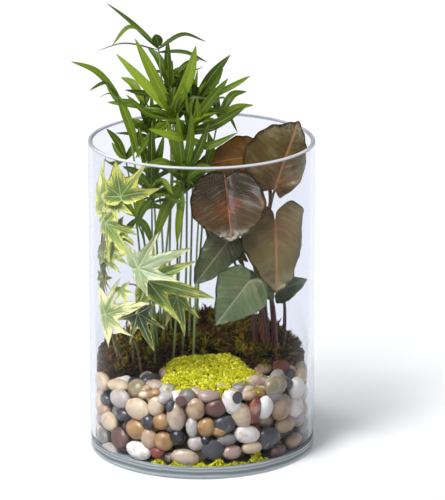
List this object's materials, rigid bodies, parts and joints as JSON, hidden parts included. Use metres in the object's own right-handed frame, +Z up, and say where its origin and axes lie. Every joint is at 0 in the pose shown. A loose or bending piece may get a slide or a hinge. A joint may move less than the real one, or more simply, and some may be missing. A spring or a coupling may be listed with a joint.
{
  "type": "glass plant terrarium",
  "caption": "Open glass cylinder with a bed of river pebbles, dark soil, green and yellow moss, a parlour palm, a variegated ivy and a bronze arrowhead plant.",
  "frame": {"origin": "centre of the underside of the glass, on the surface that it stands on", "axes": "+Z up, -Y towards the front of the picture, +X to its right"},
  "size_m": [0.2143, 0.2, 0.4005],
  "materials": {
    "clear_glass": "gloss",
    "pebbles": "satin",
    "soil": "matte",
    "green_moss": "matte",
    "yellow_moss": "matte",
    "palm_leaf": "satin",
    "ivy_leaf": "satin",
    "arrowhead_leaf": "satin"
  },
  "bodies": {
    "root": {"glass_cylinder": "clear_glass", "pebble_bed": "pebbles", "yellow_crumbs": "yellow_moss", "soil": "soil", "moss": "green_moss", "yellow_moss": "yellow_moss", "palm_frond_1": "palm_leaf", "palm_frond_2": "palm_leaf", "palm_frond_3": "palm_leaf", "palm_frond_4": "palm_leaf", "palm_frond_5": "palm_leaf", "palm_frond_6": "palm_leaf", "palm_frond_7": "palm_leaf", "palm_frond_8": "palm_leaf", "palm_frond_9": "palm_leaf", "palm_frond_10": "palm_leaf", "palm_frond_11": "palm_leaf", "palm_frond_12": "palm_leaf", "palm_frond_13": "palm_leaf", "palm_frond_14": "palm_leaf", "ivy_vine_1": "ivy_leaf", "ivy_vine_2": "ivy_leaf", "ivy_vine_3": "ivy_leaf", "ivy_vine_4": "ivy_leaf", "arrowhead_leaf_1": "arrowhead_leaf", "arrowhead_leaf_2": "arrowhead_leaf", "arrowhead_leaf_3": "arrowhead_leaf", "arrowhead_leaf_4": "arrowhead_leaf", "arrowhead_leaf_5": "arrowhead_leaf", "arrowhead_leaf_6": "arrowhead_leaf", "arrowhead_leaf_7": "arrowhead_leaf", "arrowhead_leaf_8": "arrowhead_leaf", "arrowhead_leaf_9": "arrowhead_leaf"}
  },
  "joints": []
}
